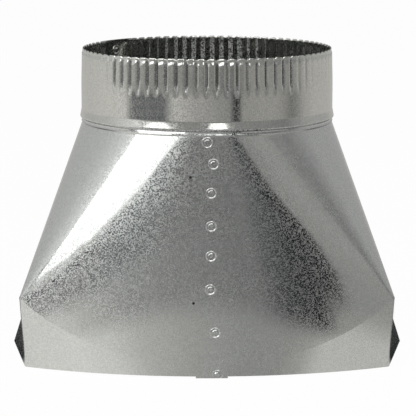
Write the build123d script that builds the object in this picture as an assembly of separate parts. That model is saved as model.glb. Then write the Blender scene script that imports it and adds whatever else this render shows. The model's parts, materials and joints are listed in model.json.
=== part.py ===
from build123d import *
from math import cos, degrees, radians, sin
import os

# Duct transition in galvanised sheet steel: a rectangular mouth at the bottom,
# a round crimped collar on top. Millimetres, +Z up, the lap seam faces -Y.
# The origin is on the surface that it stands on, under the collar's axis.

# The sheet, and how closely the two pieces fit
sheet = 0.55
joint_clearance = 0.12
fold_length = 1.6
weld_overlap = 0.03

# Rectangular mouth, which stands on the floor
mouth_depth = 80.0
mouth_front_width = 257.0
mouth_back_width = 287.0
mouth_front_bulge = 34.0
mouth_back_bulge = 24.0
front_edge_trim = 1.4

# Folded corners, where the cones end
corner_height = 49.5
corner_front_width = 264.0
corner_back_width = 255.0
crease_height = 8.5
front_crease_bulge = 35.5
back_crease_bulge = 26.0
relief_hole_radius = 0.9

# Round neck of the body, and how much of its ring each panel takes up, in degrees
body_height = 170.0
neck_height = 3.3
front_panel_angle = 55.0
back_panel_angle = 45.0
side_panel_angle = 6.0

# Locking bead, rolled through the neck and the collar's foot
bead_depth = 0.45
bead_half_height = 1.0
bead_rise = 1.3

# Round collar, whose plain wall stands a little proud of the neck
collar_radius = 88.9
collar_over_neck = 0.3
collar_rise = 52.4
flange_overhang = 0.95
flange_slope = 0.5
flange_thickness = 1.0
flange_roll = 0.9
flare_height = 4.2

# Crimped end of the collar
flute_count = 80
flute_depth = 1.3
flute_length = 26.0
flute_run_out = 11.0
flute_slant = 0.35
lip_height = 2.3
lip_shoulder = 1.6
lip_flute_depth = 0.7
rim_taper = 1.0
rim_wave = 0.8

# Lap seams
body_lap_left_top = -11.5
body_lap_left_bottom = -7.7
body_lap_right = 14.4
collar_lap_angle = 139.5
collar_lap_width = 24.0
edge_line_width = 0.35
edge_line_depth = 0.3

# Clinches that join the laps; on the body, each is given by its place across
# and by its height as a share of the body's
clinch_outer_radius = 3.5
clinch_button_radius = 1.75
clinch_depth = 0.38
clinch_slope = 0.45
clinch_boss_height = 0.35
clinch_step = 0.12
body_clinches = [
    (0.3, 0.978),
    (4.5, 0.891),
    (2.9, 0.773),
    (3.0, 0.637),
    (2.9, 0.514),
    (2.4, 0.375),
    (5.7, 0.194),
    (7.2, 0.014),
]
collar_clinch_depths = [7.6, 33.0]

# Heights and radii that follow from the sizes above
neck_radius = collar_radius - collar_over_neck
neck_top = body_height + neck_height
bead_height = body_height + bead_rise
foot_radius = neck_radius - sheet - joint_clearance
foot_bottom = body_height + joint_clearance
lap_top = body_height - joint_clearance
flange_radius = collar_radius + flange_overhang
flange_bottom = neck_top + joint_clearance
flange_top = flange_bottom + flange_slope + flange_thickness
flare_top = flange_top + flange_roll + flare_height
rim_height = body_height + collar_rise
crimp_start = rim_height - flute_length
far = 2 * (mouth_back_width + rim_height)


def open_outline(corners, front_mid, back_mid):
    """Eight edges round a folded outline, from the front left corner.

    The front and back edges are bowed through their middle points, the sides
    are straight, and a small fold rounds each corner.
    """
    front_left, front_right, back_right, back_left = corners
    panels = [
        Edge.make_three_point_arc(front_left, front_mid, front_right),
        Edge.make_line(front_right, back_right),
        Edge.make_three_point_arc(back_right, back_mid, back_left),
        Edge.make_line(back_left, front_left),
    ]
    cut = [fold_length / panel.length for panel in panels]
    panels = [panel.trim(end, 1 - end) for panel, end in zip(panels, cut)]
    edges = []
    for index, panel in enumerate(panels):
        corner = corners[(index + 1) % 4]
        following = panels[(index + 1) % 4]
        edges += [panel, Edge.make_bezier(panel @ 1, corner, following @ 0)]
    return edges


def folded_outline(inset, front_width, back_width, corner_z, front_mid, back_mid):
    """A folded outline from its widths; each middle point is (bulge, height)."""
    front = front_width / 2 - inset
    back = back_width / 2 - inset
    depth = mouth_depth / 2 - inset
    corners = [
        Vector(-front, -depth, corner_z),
        Vector(front, -depth, corner_z),
        Vector(back, depth, corner_z),
        Vector(-back, depth, corner_z),
    ]
    front_point = Vector(0, -depth - front_mid[0], front_mid[1])
    back_point = Vector(0, depth + back_mid[0], back_mid[1])
    return open_outline(corners, front_point, back_point)


def mouth_outline(inset, front_lift):
    """The mouth's edge on the floor; its front edge may be lifted in the middle."""
    return folded_outline(inset, mouth_front_width, mouth_back_width, 0,
                          (mouth_front_bulge, front_lift), (mouth_back_bulge, 0))


def crease_outline(inset):
    """The soft crease: high at the folded corners, low in the middle of a panel."""
    return folded_outline(inset, corner_front_width, corner_back_width, corner_height,
                          (front_crease_bulge, crease_height),
                          (back_crease_bulge, crease_height))


def polar(radius, angle, height):
    """A point at a radius and an angle in degrees."""
    return Vector(radius * cos(radians(angle)), radius * sin(radians(angle)), height)


def neck_outline(inset):
    """Eight arcs round the neck: four short panel tops and four cone tops."""
    panels = [(-90, front_panel_angle), (0, side_panel_angle), (90, back_panel_angle),
              (180, side_panel_angle)]
    stops = [middle + side * angle / 2 for middle, angle in panels for side in (-1, 1)]
    stops.append(stops[0] + 360)
    return [neck_arc(neck_radius - inset, start, end) for start, end in zip(stops, stops[1:])]


def neck_arc(radius, start, end):
    """Arc at the top of the body from one angle to another, in degrees."""
    return Edge.make_three_point_arc(*(polar(radius, angle, body_height)
                                       for angle in (start, (start + end) / 2, end)))


def bands(outlines):
    """Ruled faces that join each outline to the next one up."""
    return [Face.make_surface_from_curves(low, high)
            for below, above in zip(outlines, outlines[1:])
            for low, high in zip(below, above)]


def tube_between(outer, inner):
    """A solid between two stacks of closed outlines, open at both ends."""
    ends = bands([outer[0], inner[0]]) + bands([outer[-1], inner[-1]])
    return Solid(Shell(bands(outer) + bands(inner) + ends))


def body_layer(outer_inset, inner_inset, front_lift):
    """A layer of the folded body between two insets from its outer surface."""
    outer, inner = ([mouth_outline(inset, front_lift), crease_outline(inset), neck_outline(inset)]
                    for inset in (outer_inset, inner_inset))
    return tube_between(outer, inner)


def rolled_ring(points):
    """A rolled sheet ring from its outer profile, given as (radius, height) points."""
    outside = Wire.make_polygon([Vector(r, 0, z) for r, z in points], close=False)
    flat = Plane.XZ.to_local_coords(outside)
    profile = flat.offset_2d(sheet, kind=Kind.INTERSECTION, side=Side.LEFT)
    face = Plane.XZ.from_local_coords(Face(profile))
    return revolve(face, axis=Axis.Z)


def bead(radius):
    """Outer profile points of the locking bead on a ring of this radius."""
    return [(radius, bead_height - bead_half_height),
            (radius + bead_depth, bead_height),
            (radius, bead_height + bead_half_height)]


def front_slab(left_bottom, left_top, right, top):
    """A block through the front panel, with a slanting left side."""
    sides = Polyline((left_bottom, 0), (right, 0), (right, top), (left_top, top), close=True)
    return Pos(0, -far / 2, 0) * extrude(Plane.XZ * make_face(sides), -far / 2)


def front_plane(solid, across, height):
    """The plane on the front panel's skin at a place across it and a height."""
    hits = Shell(solid.faces()).find_intersection_points(Axis((across, -far, height), (0, 1, 0)))
    point, normal = min(hits, key=lambda hit: hit[0].Y)
    return Plane(origin=point, z_dir=normal if normal.Y < 0 else normal * -1)


def turned(points):
    """A solid of revolution about local Z from (radius, height) points."""
    outline = Polyline(*points, close=True)
    return revolve(Plane.XZ * make_face(outline), axis=Axis.Z)


def clinch_spot():
    """Both layers of a lap where a clinch presses a ring into them round a button."""
    under = -2 * sheet - clinch_step
    return turned([
        (0, 0),
        (clinch_button_radius, 0),
        (clinch_button_radius + clinch_slope, -clinch_depth),
        (clinch_outer_radius - clinch_slope, -clinch_depth),
        (clinch_outer_radius, -clinch_step),
        (clinch_outer_radius, under),
        (clinch_outer_radius - clinch_slope, under - clinch_boss_height),
        (0, under - clinch_boss_height),
    ])


def clinched(layers, spots):
    """Lapped layers with the metal at each spot formed into a clinch."""
    below_floor = Pos(0, 0, -far / 2) * Box(far, far, far)
    for spot in spots:
        formed = spot * clinch_spot() - below_floor
        layers = layers - spot * Cylinder(clinch_outer_radius, 8 * sheet) + formed
    return layers


def neck():
    """The round neck, with the bead that locks the collar's foot."""
    return rolled_ring([(neck_radius, body_height), *bead(neck_radius), (neck_radius, neck_top)])


def corner_reliefs():
    """Small holes where the folds end at the four corners."""
    holes = []
    for width, side in ((corner_front_width, -1), (corner_back_width, 1)):
        for hand in (-1, 1):
            corner = Vector(hand * width / 2, side * mouth_depth / 2, corner_height)
            outward = Vector(hand, side, 0).normalized()
            hole = Plane(origin=corner, z_dir=outward) * Cylinder(
                relief_hole_radius, 4 * fold_length)
            holes.append(hole)
    return holes


def transition_body():
    """The folded and wrapped sheet with its lap seam at the middle of the front."""
    wall = body_layer(0, sheet, front_edge_trim)
    lap = body_layer(sheet - weld_overlap, 2 * sheet, 0) & front_slab(
        body_lap_left_bottom, body_lap_left_top, body_lap_right, lap_top)
    edge_line = body_layer(-sheet, edge_line_depth, front_edge_trim) & front_slab(
        body_lap_right, body_lap_right, body_lap_right + edge_line_width, body_height)
    spots = [front_plane(wall, across, share * body_height) for across, share in body_clinches]
    return clinched(wall - corner_reliefs() + lap, spots) - edge_line + neck()


def crimp_levels():
    """Height, peak radius, flute depth and dip of the valleys at each level."""
    end_radius = collar_radius - rim_taper
    lip_bottom = rim_height - lip_height
    return [
        (crimp_start, collar_radius, 0, 0),
        (crimp_start + flute_run_out, collar_radius, flute_depth, 0),
        (lip_bottom - lip_shoulder, collar_radius, flute_depth, 0),
        (lip_bottom, end_radius, lip_flute_depth, 0),
        (rim_height, end_radius, lip_flute_depth, rim_wave),
    ]


def collar_lap_half_angle():
    """Half of the angle that the collar's lap takes up."""
    return degrees(collar_lap_width / 2 / collar_radius)


def crimp_outline(level, inset):
    """Edges round the crimped wall at one level; the lap is left uncrimped."""
    height, peak, depth, dip = level
    pitch = 360 / flute_count
    plain = collar_lap_half_angle() + pitch / 2
    corners = []
    for flute in range(flute_count):
        start = collar_lap_angle + flute * pitch
        away = min(flute * pitch, 360 - flute * pitch)
        pressed = 0 if away < plain else 1
        corners.append((peak - inset - pressed * depth, start, height - pressed * dip))
        corners.append((peak - inset, start + flute_slant * pitch, height))
    radius, angle, first_height = corners[0]
    corners.append((radius, angle + 360, first_height))
    return [crimp_edge(here, there, depth) for here, there in zip(corners, corners[1:])]


def crimp_edge(here, there, depth):
    """One side of a flute, or an arc of the plain wall where the flutes have run out."""
    if depth:
        return Edge.make_line(polar(*here), polar(*there))
    radius, angle, height = here
    middle = polar(radius, (angle + there[1]) / 2, height)
    return Edge.make_three_point_arc(polar(*here), middle, polar(*there))


def crimped_end():
    """The crimped ring, a constant sheet between two fluted stacks."""
    levels = crimp_levels()
    outer = [crimp_outline(level, 0) for level in levels]
    inner = [crimp_outline(level, sheet) for level in levels]
    return tube_between(outer, inner)


def plain_collar():
    """The collar's foot, flange, flare and plain wall, rolled as one ring."""
    return rolled_ring([
        (foot_radius, foot_bottom),
        *bead(foot_radius),
        (foot_radius, flange_bottom),
        (flange_radius - flange_roll / 2, flange_bottom + flange_slope),
        (flange_radius, flange_top - flange_thickness / 2),
        (flange_radius, flange_top),
        (collar_radius, flare_top),
        (collar_radius, crimp_start),
    ])


def collar_lap():
    """The inner layer of the collar's lap, behind its plain and crimped wall."""
    levels = [(flare_top, collar_radius)] + [(height, peak) for height, peak, *_ in crimp_levels()]
    outside = [(radius - sheet + weld_overlap, height) for height, radius in levels]
    inside = [(radius - 2 * sheet, height) for height, radius in reversed(levels)]
    face = Plane.XZ * make_face(Polyline(*outside, *inside, close=True))
    half = collar_lap_half_angle()
    return Rot(Z=collar_lap_angle - half) * revolve(face, axis=Axis.Z, revolution_arc=2 * half)


def round_collar():
    """The rolled collar with its crimps, its lap and the clinches in it."""
    wall = plain_collar() + crimped_end()
    outward = polar(1, collar_lap_angle, 0)
    spots = [Plane(origin=polar(collar_radius, collar_lap_angle, rim_height - depth), z_dir=outward)
             for depth in collar_clinch_depths]
    return clinched(wall + collar_lap(), spots)


def write_parts():
    """Write one STEP file for each piece."""
    os.makedirs("parts", exist_ok=True)
    for name, piece in (("transition_body", transition_body()), ("round_collar", round_collar())):
        solids = piece.solids()
        export_step(Compound(solids) if len(solids) > 1 else solids[0], f"parts/{name}.step")


write_parts()
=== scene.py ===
# %% [markdown]
# # Duct transition in galvanised sheet steel
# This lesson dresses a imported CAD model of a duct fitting: a rectangular mouth below, a
# round crimped collar above. The CAD gives the true shape; Blender adds the finish of the
# sheet, a few small marks, a studio and the camera.

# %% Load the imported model
import json

import bmesh
import bpy
from math import atan2, cos, degrees, pi, radians, sin
from mathutils import Matrix, Vector

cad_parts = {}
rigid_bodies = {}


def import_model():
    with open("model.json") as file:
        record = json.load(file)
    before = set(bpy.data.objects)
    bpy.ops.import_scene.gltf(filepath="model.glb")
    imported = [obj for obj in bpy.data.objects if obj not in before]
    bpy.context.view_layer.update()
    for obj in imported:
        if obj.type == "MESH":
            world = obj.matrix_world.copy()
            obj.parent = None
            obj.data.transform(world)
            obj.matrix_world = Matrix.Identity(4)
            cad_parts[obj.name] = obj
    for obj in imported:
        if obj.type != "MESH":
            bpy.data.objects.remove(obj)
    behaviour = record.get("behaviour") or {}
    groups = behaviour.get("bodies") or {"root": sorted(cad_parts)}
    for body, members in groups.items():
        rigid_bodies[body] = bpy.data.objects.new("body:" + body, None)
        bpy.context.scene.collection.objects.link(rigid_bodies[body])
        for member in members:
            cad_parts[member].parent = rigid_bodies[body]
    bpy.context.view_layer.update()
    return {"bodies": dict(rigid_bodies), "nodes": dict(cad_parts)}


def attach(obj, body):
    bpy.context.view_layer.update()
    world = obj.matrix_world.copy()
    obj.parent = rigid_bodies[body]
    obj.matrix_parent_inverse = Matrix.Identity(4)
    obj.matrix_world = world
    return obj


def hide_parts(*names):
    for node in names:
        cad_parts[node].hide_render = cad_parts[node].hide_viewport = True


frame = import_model()
print("nodes:", sorted(frame["nodes"]))

# %% [markdown]
# ## Camera
# The product was shot from a little above with a long lens. The lens and the distance were
# found by fitting the ellipses of the collar and the corners of the mouth, so the picture
# lines up with the CAD without any shift.

# %% Place the camera
camera_distance = 1.5186
camera_elevation = radians(9.8)
aim = Vector((0.00072, 0, 0.1067))
sensor_width, lens = 36, 183.5

camera_data = bpy.data.cameras.new("photo_camera")
camera_data.sensor_width = sensor_width
camera_data.lens = lens
camera = bpy.data.objects.new("photo_camera", camera_data)
bpy.context.collection.objects.link(camera)
towards_camera = Vector((0, -cos(camera_elevation), sin(camera_elevation)))
camera.location = aim + camera_distance * towards_camera
camera.rotation_euler = (pi / 2 - camera_elevation, 0, 0)
bpy.context.scene.camera = camera
bpy.context.scene.view_settings.view_transform = "Standard"
print("camera at", [round(value, 3) for value in camera.location])

# %% [markdown]
# ## Colours and nodes
# Colours are written as sRGB hex, as a picture editor shows them. Blender mixes light in
# linear values, so one function converts them. A second small function adds a shader node
# with its settings and links; a colour ramp's stops are one of its settings.


# %% Helpers for materials
def linear(hex_colour):
    """The linear RGBA of an sRGB colour such as "b8b8b4"."""
    channels = [int(hex_colour[i:i + 2], 16) / 255 for i in (0, 2, 4)]
    return [c / 12.92 if c <= 0.04045 else ((c + 0.055) / 1.055) ** 2.4 for c in channels] + [1]


def add(tree, kind, settings=None, stops=(), **inputs):
    """Add a node; each input is a value, or an output socket to link from."""
    node = tree.nodes.new(kind)
    for name, value in (settings or {}).items():
        setattr(node, name, value)
    for index, (position, colour) in enumerate(stops):
        elements = node.color_ramp.elements
        element = elements[index] if index < 2 else elements.new(position)
        element.position = position
        element.color = linear(colour)
    for name, value in inputs.items():
        socket = node.inputs[int(name[1:]) if name[1:].isdigit() else name.replace("_", " ")]
        if isinstance(value, bpy.types.NodeSocket):
            tree.links.new(value, socket)
        else:
            socket.default_value = value
    return node


# %% [markdown]
# ## Galvanised steel
# Sheet dipped in molten zinc freezes into a fine frost of crystals, the spangle. Some
# crystals are mirror-smooth and some are matt. In an even reflection they look alike, but
# where the sheet mirrors something dark the matt ones stay grey and the smooth ones turn
# black, so the metal breaks into specks under a millimetre across. Noise could draw the
# specks, but it comes out soft and blotchy; Voronoi cells have the hard edges of crystals
# and a random colour each. Its red part sets how matt and how dull with oxide the crystal
# is, and its green part picks the metal's colour between two close greys.


# %% Make the galvanised finish
cloud_mm = 1000 / 28
cloud_roughness = 0.1


def galvanised(name, colours, smooth_to_matt, dullest, bump_mm, crystal_mm=0.60):
    """Zinc-coated sheet: (dark, light) colours and (smooth, matt) roughness of its crystals."""
    material = bpy.data.materials.new(name)
    material.use_nodes = True
    tree = material.node_tree
    place = add(tree, "ShaderNodeTexCoord").outputs["Object"]
    spangle = add(tree, "ShaderNodeTexVoronoi", Vector=place, Scale=1000 / crystal_mm)
    chance = add(tree, "ShaderNodeSeparateColor", Color=spangle.outputs["Color"])
    crystal = add(tree, "ShaderNodeMapRange", {"interpolation_type": "SMOOTHSTEP"},
                  Value=chance.outputs["Red"], From_Min=0.35, From_Max=0.65).outputs["Result"]
    clouds = add(tree, "ShaderNodeTexNoise", Vector=place, Scale=1000 / cloud_mm, Detail=3.0)
    gloss = add(tree, "ShaderNodeMapRange", Value=crystal, To_Min=smooth_to_matt[0],
                To_Max=smooth_to_matt[1])
    cloudy = add(tree, "ShaderNodeMath", {"operation": "MULTIPLY_ADD"},
                 _0=clouds.outputs["Fac"], _1=cloud_roughness, _2=gloss.outputs["Result"])
    roughness = add(tree, "ShaderNodeMath", {"operation": "SUBTRACT"},
                    _0=cloudy.outputs["Value"], _1=cloud_roughness / 2)
    colour = add(tree, "ShaderNodeValToRGB", stops=list(enumerate(colours)),
                 Fac=chance.outputs["Green"])
    ripple = add(tree, "ShaderNodeTexNoise", Vector=place, Scale=1000 / crystal_mm, Detail=1.0)
    bump = add(tree, "ShaderNodeBump", Height=ripple.outputs["Fac"], Strength=1.0,
               Distance=bump_mm / 1000)
    shader = tree.nodes["Principled BSDF"]
    bright = add(tree, "ShaderNodeMapRange", Value=crystal, To_Min=1.0, To_Max=dullest)
    tree.links.new(bright.outputs["Result"], shader.inputs["Metallic"])
    tree.links.new(colour.outputs["Color"], shader.inputs["Base Color"])
    tree.links.new(roughness.outputs["Value"], shader.inputs["Roughness"])
    tree.links.new(bump.outputs["Normal"], shader.inputs["Normal"])
    return material


body_sheet = galvanised("galvanised_sheet", ("c2c4c2", "d8dad7"), (0.05, 0.27), 0.87, 0.003)
collar_sheet = galvanised("galvanised_collar_strip", ("c3c4c0", "dbdbd6"), (0.07, 0.20), 0.985,
                          0.0015)
for slot in frame["nodes"]["transition_body"].material_slots:
    slot.material = body_sheet
print("materials:", body_sheet.name, collar_sheet.name)

# %% [markdown]
# ## Round collar
# The real collar is a strip of sheet, rolled into a ring. A roll crimper then pressed some
# eighty grooves into its end, each with a steep side and a gentle one and a flat between
# them, and turned the rim in a little. The CAD collar has simple flutes with two flat
# sides. In a mirror-like sheet that shows, so this collar is made anew with rounded
# grooves: a profile is spun round the axis and the grooves are pressed into it.

# %% Give the collar's sizes
sheet = 0.55
wall_radius = 88.9
foot_radius = 87.93
groove_count = 80
groove_depth = 1.15
crimp_bottom = 195.5
crimp_fade = 11.0
lip_bottom = 220.1
rim_top = 222.4
lip_inset = 1.0
lip_groove_depth = 0.7
lip_wave = 0.8
lap_angle = 139.5
lap_half_width = 7.73
steps_per_groove = 10
crimp_rows = 26
print("grooves:", groove_count)


# %% Describe the groove
plain_phase = 0.3
lap_margin = 2
softest_press = 0.12


def smooth(value, start, end):
    """0 before the start and 1 after the end, with a soft change between."""
    share = min(max((value - start) / (end - start), 0), 1)
    return share * share * (3 - 2 * share)


def groove(phase):
    """How deep the sheet is pressed at a place across one groove, from 0 to 1."""
    return 1 - smooth(phase, 0.0, 0.2) + smooth(phase, 0.68, 1.0)


def phase_at(angle):
    """The place across its groove, from 0 to 1, of an angle in degrees."""
    return ((angle - lap_angle) * groove_count / 360) % 1


def on_lap(angle):
    """Whether an angle is on the lap or just beside it, where the sheet is left plain."""
    return abs((angle - lap_angle + 180) % 360 - 180) < lap_half_width + lap_margin


def pressure(angle):
    """How hard the rollers pressed: less near the two sides, and never quite the same."""
    from_side = abs(abs((angle + 90 + 180) % 360 - 180) - 90)
    at_front = 180 < angle % 360 < 360
    full_press = smooth(from_side, 36, 54) if at_front else smooth(from_side, 0, 12)
    # Multiples of 37 divided by 11 leave remainders that look shuffled, the same each run.
    number = int((angle - lap_angle) % 360 * groove_count / 360 + 0.5)
    luck = 0.75 + 0.5 * ((number * 37) % 11) / 10
    return luck * (softest_press + (1 - softest_press) * full_press)


def shoulder_start(phase):
    """The height where the wall starts to turn in to the rim, higher along each flat."""
    return lip_bottom - 3.0 + 2.4 * smooth(phase, 0.15, 0.75)


def pressed(angle, height):
    """How far the crimper moves the wall inwards and down at an angle in degrees."""
    phase = plain_phase if on_lap(angle) else phase_at(angle)
    turned_in = smooth(height, shoulder_start(phase), lip_bottom)
    depth = pressure(angle) * (groove_depth * (1 - turned_in) + lip_groove_depth * turned_in)
    lean = 0.5 * smooth(height, crimp_bottom, lip_bottom) * (1 - turned_in)
    inwards = (lip_inset * turned_in + lean
               + groove(phase) * depth * smooth(height, crimp_bottom, crimp_bottom + crimp_fade))
    down = lip_wave * groove(phase) * smooth(height, lip_bottom, rim_top)
    return inwards, down


print("groove at its middle:", groove(0), "and on the flat:", groove(0.5))

# %% Spin the collar's profile
foot_and_bead = [(foot_radius, 170.12), (foot_radius, 170.3), (foot_radius + 0.45, 171.3),
                 (foot_radius, 172.3), (foot_radius, 173.42)]
flange = [(89.3, 173.85), (89.72, 174.1), (89.85, 174.4), (89.85, 174.95)]
flare = [(89.7, 175.7), (89.0, 179.4), (wall_radius, 180.02)]
plain_wall = [(wall_radius, 180.6), (wall_radius, 188.0)]
first_row, last_row = crimp_bottom - 1, rim_top - 0.35
crimped_wall = [(wall_radius, first_row + (last_row - first_row) * row / crimp_rows)
                for row in range(crimp_rows + 1)]
outline = foot_and_bead + flange + flare + plain_wall + crimped_wall
rounded = [(wall_radius - 0.1, rim_top - 0.12), (wall_radius - 0.27, rim_top),
           (wall_radius - 0.45, rim_top - 0.12)]
inside = [(radius - sheet, height) for radius, height in reversed(outline)]

shape = bmesh.new()
corners = [shape.verts.new((radius / 1000, 0, height / 1000))
           for radius, height in outline + rounded + inside]
edges = [shape.edges.new(pair) for pair in zip(corners, corners[1:] + corners[:1])]
bmesh.ops.spin(shape, geom=corners + edges, cent=(0, 0, 0), axis=(0, 0, 1), angle=2 * pi,
               steps=groove_count * steps_per_groove, use_merge=True)
print("collar vertices:", len(shape.verts))

# %% Press the grooves and finish the collar
for vert in shape.verts:
    inwards, down = pressed(degrees(atan2(vert.co.y, vert.co.x)), vert.co.z * 1000)
    across = Vector((vert.co.x, vert.co.y, 0)).normalized()
    vert.co -= across * inwards / 1000 + Vector((0, 0, down / 1000))
bmesh.ops.recalc_face_normals(shape, faces=shape.faces)


def finished(name, shape, material):
    """Turn a bmesh into a smooth piece of the object with its finish."""
    mesh = bpy.data.meshes.new(name)
    shape.to_mesh(mesh)
    shape.free()
    mesh.materials.append(material)
    mesh.shade_smooth()
    mesh.set_sharp_from_angle(angle=radians(32))
    piece = bpy.data.objects.new(name, mesh)
    bpy.context.collection.objects.link(piece)
    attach(piece, root)
    print(name, "faces:", len(mesh.polygons))
    return piece


root = next(iter(frame["bodies"]))
collar = finished("crimped_collar", shape, collar_sheet)
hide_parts("round_collar")

# %% [markdown]
# The faces deep in the grooves get a darker zinc, a painted shade where the walls keep the
# light out. Wear left the zinc lighter and duller on the flange's edge, and the flats inside
# the collar's back get the same lighter, duller zinc as a painted highlight. A mask in the
# shader could blend these, but their edges are sharp and follow the mesh, so the faces
# there get a second and a third material.

# %% Mark the painted shade in the grooves, the worn flange edge and the painted highlight inside
# A darker zinc for the faces deep in the grooves: painted shade.
groove_shade_zinc = galvanised("painted_groove_shade_zinc", ("8a8c8a", "b4b6b3"), (0.10, 0.30), 0.985, 0.0015,
                    crystal_mm=0.62)
# A lighter, duller zinc: wear on the flange's edge, the clinch rings and the fleck, and a painted
# highlight on the flats inside the collar's back.
worn_and_highlight_zinc = galvanised("worn_zinc_and_painted_highlight", ("c8cac9", "dedfdc"), (0.18, 0.32), 0.55, 0.001)
collar.data.materials.append(groove_shade_zinc)
collar.data.materials.append(worn_and_highlight_zinc)
groove_shade_index, worn_and_highlight_index = 1, 2
flange_edge = (173.9, 175.2)
highlight_angle, highlight_phase, highlight_width = 89, 0.44, 0.24
for face in collar.data.polygons:
    angle, height = degrees(atan2(face.center.y, face.center.x)), face.center.z * 1000
    if flange_edge[0] < height < flange_edge[1]:
        face.material_index = worn_and_highlight_index
    phase = phase_at(angle)
    # Faces deep in a hard-pressed groove get the painted groove shade.
    if groove(phase) * smooth(height, crimp_bottom, crimp_bottom + crimp_fade) > 0.45:
        pressed_hard = pressure(angle) > 0.5 and not on_lap(angle) and height < lip_bottom
        face.material_index = groove_shade_index if pressed_hard else 0
    # Flats inside the collar's back get the painted highlight, fading out towards the sides.
    inner = face.normal.x * face.center.x + face.normal.y * face.center.y < 0
    highlight_share = highlight_width * (1 - smooth(abs(angle - highlight_angle), 12, 34))
    if inner and height > crimp_bottom + 3 and abs(phase - highlight_phase) < highlight_share:
        face.material_index = worn_and_highlight_index
print("rubbed faces:", sum(face.material_index > 0 for face in collar.data.polygons))

# %% [markdown]
# The strip's ends lap each other at the back left, where the crimper left the sheet
# plain. The second layer lies inside the first. Thickening a part of the wall would move
# its grooves, so the layer is a piece of its own: its cross-section is swept round it.

# %% Lay the lap inside the collar
lap_shape = bmesh.new()
lap_wall = [(88.33, 180.4), (88.33, 217.1), (87.3, 219.9), (87.3, 222.2), (86.8, 222.2),
            (86.8, 219.9), (87.8, 217.1), (87.8, 180.4)]
start = radians(lap_angle - lap_half_width)
corners = [lap_shape.verts.new(Vector((radius * cos(start), radius * sin(start), height)) / 1000)
           for radius, height in lap_wall]
first_end = lap_shape.faces.new(corners)
bmesh.ops.spin(lap_shape, geom=[first_end], cent=(0, 0, 0), axis=(0, 0, 1),
               angle=radians(2 * lap_half_width), steps=24)
bmesh.ops.recalc_face_normals(lap_shape, faces=lap_shape.faces)
collar_lap = finished("collar_lap", lap_shape, collar_sheet)

# %% [markdown]
# ## Marks along the body's seam
# Eight clinches hold the lap at the front. The CAD has the groove that the punch sinks
# into both layers and the button in its middle. The punch also pushes up a smooth ring a
# quarter of a millimetre high, which catches the light, so each clinch gets a small spun
# ring of the lighter, duller zinc. Two fine pilot holes, their shade painted as black dots,
# and a fleck of spilt zinc beside them are as small as a pinhead. All are laid on the
# sheet, each where a straight line from the front meets it. The collar's two clinches show
# inside it as bosses on its lap.


# %% Find the sheet's surface
body = frame["nodes"]["transition_body"]
before_body = -0.3


def on_front(across, height):
    """The place in millimetres where a line from the front meets the body."""
    _, place, _, _ = body.ray_cast((across / 1000, before_body, height / 1000), (0, 1, 0))
    return place * 1000


def laid_on(across, height, reach=5.5):
    """A matrix that lays a piece flat on the front at a place across it and a height."""
    left, right = on_front(across - reach, height), on_front(across + reach, height)
    above = on_front(across, height + reach)
    normal = (right - left).cross(above - left).normalized()
    middle = (left + right) / 2
    middle.z = height
    return Matrix.Translation(middle / 1000) @ normal.to_track_quat("Z", "Y").to_matrix().to_4x4()


print("front panel's middle:", [round(value, 1) for value in on_front(0, 85)])


# %% Spin the clinch rings
above_floor = 0.0003  # the lowest clinch is cut off just over the floor


def turned_piece(profile, steps, lay):
    """A surface spun from (radius, raised) points in millimetres and laid in its place."""
    shape = bmesh.new()
    corners = [shape.verts.new((radius / 1000, 0, raised / 1000)) for radius, raised in profile]
    edges = [shape.edges.new(pair) for pair in zip(corners, corners[1:])]
    bmesh.ops.spin(shape, geom=corners + edges, cent=(0, 0, 0), axis=(0, 0, 1), angle=2 * pi,
                   steps=steps, use_merge=True)
    bmesh.ops.remove_doubles(shape, verts=shape.verts, dist=1e-6)
    bmesh.ops.transform(shape, verts=shape.verts, matrix=lay)
    bmesh.ops.bisect_plane(shape, geom=shape.verts[:] + shape.edges[:] + shape.faces[:],
                           plane_co=(0, 0, above_floor), plane_no=(0, 0, -1), clear_outer=True)
    bmesh.ops.recalc_face_normals(shape, faces=shape.faces)
    return shape


# Each clinch's place across the front and its height, and a ring's radius and rise, in mm.
clinch_places = [(0.3, 166.3), (4.5, 151.5), (2.9, 131.4), (3.0, 108.3), (2.9, 87.4), (2.4, 63.8),
                 (5.7, 33.0), (7.2, 2.4)]
ring_profile = [(0, 0.16), (0.9, 0.12), (1.5, -0.05), (1.9, -0.3), (2.6, -0.34), (3.0, -0.1),
                (3.25, 0.18), (3.5, 0.26), (3.75, 0.14), (4.0, -0.08)]
for number, (across, height) in enumerate(clinch_places):
    ring = turned_piece(ring_profile, 36, laid_on(across, height))
    finished(f"clinch_{number + 1}", ring, worn_and_highlight_zinc)

# %% Set the two clinches inside the collar
outward = Vector((cos(radians(lap_angle)), sin(radians(lap_angle)), 0))
facing_in = (-outward).to_track_quat("Z", "Y").to_matrix().to_4x4()
lap_inside_radius = 87.75
boss_profile = [(0, 0.35), (1.6, 0.3), (2.0, 0.05), (2.6, 0.05), (3.1, 0.35), (3.4, 0.3),
                (3.7, -0.2)]
for number, height in enumerate((214.8, 189.4)):
    place = (outward * lap_inside_radius + Vector((0, 0, height))) / 1000
    lay = Matrix.Translation(place) @ facing_in
    boss = turned_piece(boss_profile, 32, lay)
    finished(f"collar_clinch_{number + 1}", boss, collar_sheet)

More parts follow.
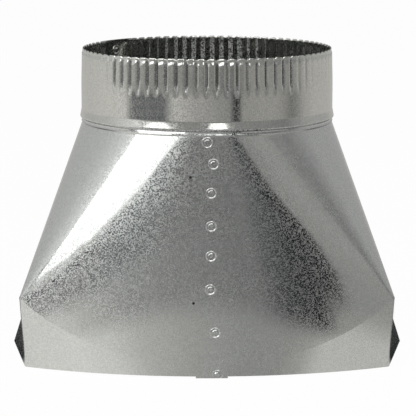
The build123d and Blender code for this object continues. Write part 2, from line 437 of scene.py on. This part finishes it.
# %% Lay the painted shade of the pilot holes and the fleck of zinc
# Each pilot hole is a black dot laid on the sheet: the painted shade of the hole.
painted_hole_shade = bpy.data.materials.new("painted_hole_shade")
painted_hole_shade.use_nodes = True
hole_shader = painted_hole_shade.node_tree.nodes["Principled BSDF"]
hole_shader.inputs["Base Color"].default_value = linear("0b0c0c")
for name, across, height, radius, material, slot in (
        ("upper_pilot_hole_painted_shade", -11.1, 142.4, 0.95, painted_hole_shade, None),
        ("lower_pilot_hole_painted_shade", -9.2, 54.1, 0.95, painted_hole_shade, None),
        ("zinc_fleck", 14.8, 37.6, 0.8, worn_and_highlight_zinc, "body_sheet")):
    dot_profile = [(0, 0.1), (radius * 0.7, 0.08), (radius, 0)]
    dot = turned_piece(dot_profile, 16, laid_on(across, height, reach=1.5))
    finished(name, dot, material)

# %% [markdown]
# ## Floor
# Metal shows what stands round it, so the studio matters more than the lamps. The camera
# sees a plain white floor, but the sheet mirrors rings of light and dark on it: bright
# close by, darker beyond, with a black stand at the front right. Each ring changes with
# the azimuth, which runs from the camera's side and is negative to the left.


# %% Describe the rings
def round_stops(stops):
    """Ramp stops from (azimuth in degrees, hex colour)."""
    return [(azimuth / 360 + 0.5, colour) for azimuth, colour in stops]


near_ring = [(-150, "bdbcb9"), (-128, "262728"), (-84, "19191b"), (-75, "efedea"), (-55, "f9f7f4"),
             (-40, "ebeae7"), (-28, "cccac7"), (-8, "b4b3b0"), (18, "a0a0a0"), (34, "a3a2a0"),
             (42, "b4b3b0"), (50, "dcdad7"), (75, "dad8d6"), (84, "262728"), (128, "262728"),
             (150, "bdbcb9")]
middle_ring = [(-150, "b4b3b0"), (-128, "3e3f42"), (-112, "2f3032"), (-98, "959595"),
               (-80, "fbf9f6"), (-55, "e9e7e4"), (-45, "c0bfbc"), (-32, "9e9e9e"), (-16, "909090"),
               (0, "898989"), (22, "7c7c7c"), (34, "3e3f42"), (46, "1c1d1e"), (51, "abaaa7"),
               (100, "abaaa7"), (112, "37383b"), (128, "3e3f42"), (150, "abaaa7")]
dark_ring = [(-160, "9e9e9e"), (-125, "959595"), (-100, "b4b3b0"), (-64, "a3a2a0"), (-50, "7e7e7e"),
             (-40, "76797d"), (-22, "7e7e7e"), (0, "7e7e7e"), (20, "7c7c7c"), (30, "57595c"),
             (39, "2b2c2e"), (51, "1c1d1e"), (54, "9e9e9e"), (100, "abaaa7"), (125, "868686"),
             (160, "909090")]
edge_ring = [(-160, "abaaa7"), (-100, "b4b3b0"), (-72, "959595"), (-64, "535558"), (-46, "57595c"),
             (-36, "76797d"), (-20, "818181"), (0, "818181"), (14, "868686"), (24, "3e3f42"),
             (36, "262728"), (49, "1c1d1e"), (52, "a3a2a0"), (100, "abaaa7"), (160, "959595")]
outer_ring = [(-90, "cdcbc9"), (-60, "bdbcb9"), (-20, "999999"), (0, "959595"), (20, "a3a2a0"),
              (45, "afadab"), (60, "a7a6a3"), (100, "afadab")]
distant_ring = [(-170, "c0bfbc"), (-100, "e1dfdc"), (-77, "e9e7e4"), (-70, "6a6c70"),
                (-38, "6a6c70"), (-29, "deddda"), (-12, "c2c0be"), (20, "9e9e9e"), (24, "37383b"),
                (28, "37383b"), (31, "adaca9"), (62, "b2b1af"), (72, "a3a2a0"), (80, "7c7c7c"),
                (86, "909090"), (96, "bab8b6"), (112, "cac8c6"), (170, "c0bfbc")]
horizon_ring = [(-170, "c0bfbc"), (-100, "deddda"), (-80, "bdbcb9"), (-40, "a7a6a3"), (0, "8b8b8b"),
                (24, "7c7c7c"), (40, "a7a6a3"), (80, "a7a6a3"), (110, "c7c5c3"), (170, "c0bfbc")]
rings = [(0, 0.01, near_ring), (0.17, 0.25, middle_ring), (0.28, 0.46, dark_ring),
         (0.60, 0.72, edge_ring), (0.79, 0.825, outer_ring), (1.05, 1.3, distant_ring),
         (2.0, 2.8, horizon_ring)]
print("rings:", len(rings))

# %% Make the floor
floor_shape = bmesh.new()
bmesh.ops.create_grid(floor_shape, x_segments=1, y_segments=1, size=6)
floor_mesh = bpy.data.meshes.new("floor")
floor_shape.to_mesh(floor_mesh)
floor_shape.free()
floor = bpy.data.objects.new("floor", floor_mesh)
bpy.context.collection.objects.link(floor)
print("floor:", floor.name)

# %% Mix the rings by the distance from the object
floor_paint = bpy.data.materials.new("white_floor")
floor_paint.use_nodes = True
floor_mesh.materials.append(floor_paint)
tree = floor_paint.node_tree
place = add(tree, "ShaderNodeTexCoord").outputs["Object"]
turned = add(tree, "ShaderNodeMapping", Vector=place, Rotation=(0, 0, pi / 2))
around = add(tree, "ShaderNodeTexGradient", {"gradient_type": "RADIAL"},
             Vector=turned.outputs["Vector"]).outputs["Fac"]
distance = add(tree, "ShaderNodeVectorMath", {"operation": "LENGTH"}, _0=place).outputs["Value"]
# The sheet mirrors the floor under the duct as near-black: a painted shadow, since no light gets in
# there.
painted_duct_shadow = linear("0c1817")
mirrored = painted_duct_shadow
for start, end, ring in rings:
    glow = add(tree, "ShaderNodeValToRGB", stops=round_stops(ring), Fac=around).outputs["Color"]
    reached = add(tree, "ShaderNodeMapRange", {"interpolation_type": "SMOOTHSTEP"},
                  Value=distance, From_Min=start, From_Max=end).outputs["Result"]
    mirrored = add(tree, "ShaderNodeMix", {"data_type": "RGBA"}, _0=reached, _6=mirrored,
                   _7=glow).outputs[2]
print("floor nodes:", len(tree.nodes))

# %% Paint the shadow inside the duct for the sheet's reflections and keep the picture's floor white
# The painted shadow covers the duct's footprint and fades out just beyond it.
flattened = add(tree, "ShaderNodeVectorMath", {"operation": "MULTIPLY"}, _0=place, _1=(0.8, 1.7, 1))
inside = add(tree, "ShaderNodeVectorMath", {"operation": "LENGTH"}, _0=flattened.outputs["Vector"])
outside_painted_shadow = add(tree, "ShaderNodeMapRange", {"interpolation_type": "SMOOTHSTEP"},
                 Value=inside.outputs["Value"], From_Min=0.10, From_Max=0.125)
mirrored = add(tree, "ShaderNodeMix", {"data_type": "RGBA"}, _0=outside_painted_shadow.outputs["Result"],
               _6=painted_duct_shadow, _7=mirrored).outputs[2]
path = add(tree, "ShaderNodeLightPath")
shown = add(tree, "ShaderNodeMix", {"data_type": "RGBA"}, _0=path.outputs["Is Camera Ray"],
            _6=mirrored, _7=(1, 1, 1, 1))
light = add(tree, "ShaderNodeEmission", Color=shown.outputs[2])
paper = tree.nodes["Principled BSDF"]
paper.inputs["Base Color"].default_value = linear("e8e8e8")
paper.inputs["Roughness"].default_value = 0.9
seen = add(tree, "ShaderNodeMath", {"operation": "MULTIPLY_ADD"}, _0=path.outputs["Is Camera Ray"],
           _1=0.975, _2=path.outputs["Is Glossy Ray"])
surface = add(tree, "ShaderNodeMixShader", Fac=seen.outputs["Value"], _1=paper.outputs["BSDF"],
              _2=light.outputs["Emission"])
tree.links.new(surface.outputs["Shader"], tree.nodes["Material Output"].inputs["Surface"])
print("floor paint:", floor_paint.name)

# %% [markdown]
# ## Room
# Above the floor's edge the sheet mirrors the walls, which also change with the azimuth
# and fade to a dark ceiling. The camera sees them as white.

# %% Light the room
world = bpy.data.worlds.new("studio")
bpy.context.scene.world = world
world.use_nodes = True
tree = world.node_tree
direction = add(tree, "ShaderNodeTexCoord").outputs["Generated"]
turned = add(tree, "ShaderNodeMapping", Vector=direction, Rotation=(0, 0, pi / 2))
around = add(tree, "ShaderNodeTexGradient", {"gradient_type": "RADIAL"},
             Vector=turned.outputs["Vector"]).outputs["Fac"]
walls = add(tree, "ShaderNodeValToRGB", stops=round_stops([
    (-170, "b8b8b8"), (-140, "c2c2c2"), (-100, "d0d0d0"), (-66, "f6f6f6"), (-58, "aaaaaa"),
    (-30, "999999"), (60, "959595"), (74, "8b8b8b"), (105, "b6b6b6"), (170, "b3b3b3")]), Fac=around)
upwards = add(tree, "ShaderNodeSeparateXYZ", Vector=direction).outputs["Z"]
ceiling = add(tree, "ShaderNodeMapRange", {"interpolation_type": "SMOOTHSTEP"}, Value=upwards,
              From_Min=0.35, From_Max=0.7)
room = add(tree, "ShaderNodeMix", {"data_type": "RGBA"}, _0=ceiling.outputs["Result"],
           _6=walls.outputs["Color"], _7=linear("5a5c5c"))
path = add(tree, "ShaderNodeLightPath")
shown = add(tree, "ShaderNodeMix", {"data_type": "RGBA"}, _0=path.outputs["Is Camera Ray"],
            _6=room.outputs[2], _7=(1, 1, 1, 1))
tree.links.new(shown.outputs[2], tree.nodes["Background"].inputs["Color"])
print("room:", world.name)

# %% [markdown]
# ## Lamps
# A wide panel at the left gives the body its white streak. It is rolled a little, so that
# the streak leans, and light linking keeps it off the collar. Three softboxes from above
# give the bright line along the collar's foot and the glints of the crimps.


# %% Make and place the lamps
def softbox(name, place, size, strength, lit=None):
    """A lamp of (width, height) that glows with the given strength."""
    lamp = bpy.data.lights.new(name, "AREA")
    lamp.shape = "RECTANGLE"
    lamp.size, lamp.size_y = size
    lamp.energy = strength * pi * size[0] * size[1]
    holder = bpy.data.objects.new(name, lamp)
    bpy.context.collection.objects.link(holder)
    holder.location = place
    holder.visible_camera = False
    if lit:
        group = bpy.data.collections.new("lit_by_" + name)
        group.objects.link(lit)
        holder.light_linking.receiver_collection = group
    print(name, "at", [round(value, 2) for value in holder.location])
    return holder


panel = softbox("left_panel", (-0.533, -0.517, 0.193), (0.675, 0.338), 2.1, lit=body)
panel.rotation_euler = (pi / 2, -0.035, -atan2(0.18, 0.67))
middle = Vector((0, 0, 0.11))
softbox_distance, softbox_strength = 1.8, 1.5
for name, azimuth, elevation, size in (("front_left_softbox", -47, 26, (1.5, 0.9)),
                                       ("front_right_softbox", 10, 26, (0.75, 0.9)),
                                       ("top_softbox", 0, 62, (2.4, 1.4))):
    turn, rise = radians(azimuth), radians(elevation)
    away = Vector((sin(turn) * cos(rise), -cos(turn) * cos(rise), sin(rise)))
    box = softbox(name, middle + softbox_distance * away, size, softbox_strength)
    box.rotation_euler = away.to_track_quat("Z", "Y").to_euler()
    box.data.shape = "ELLIPSE"
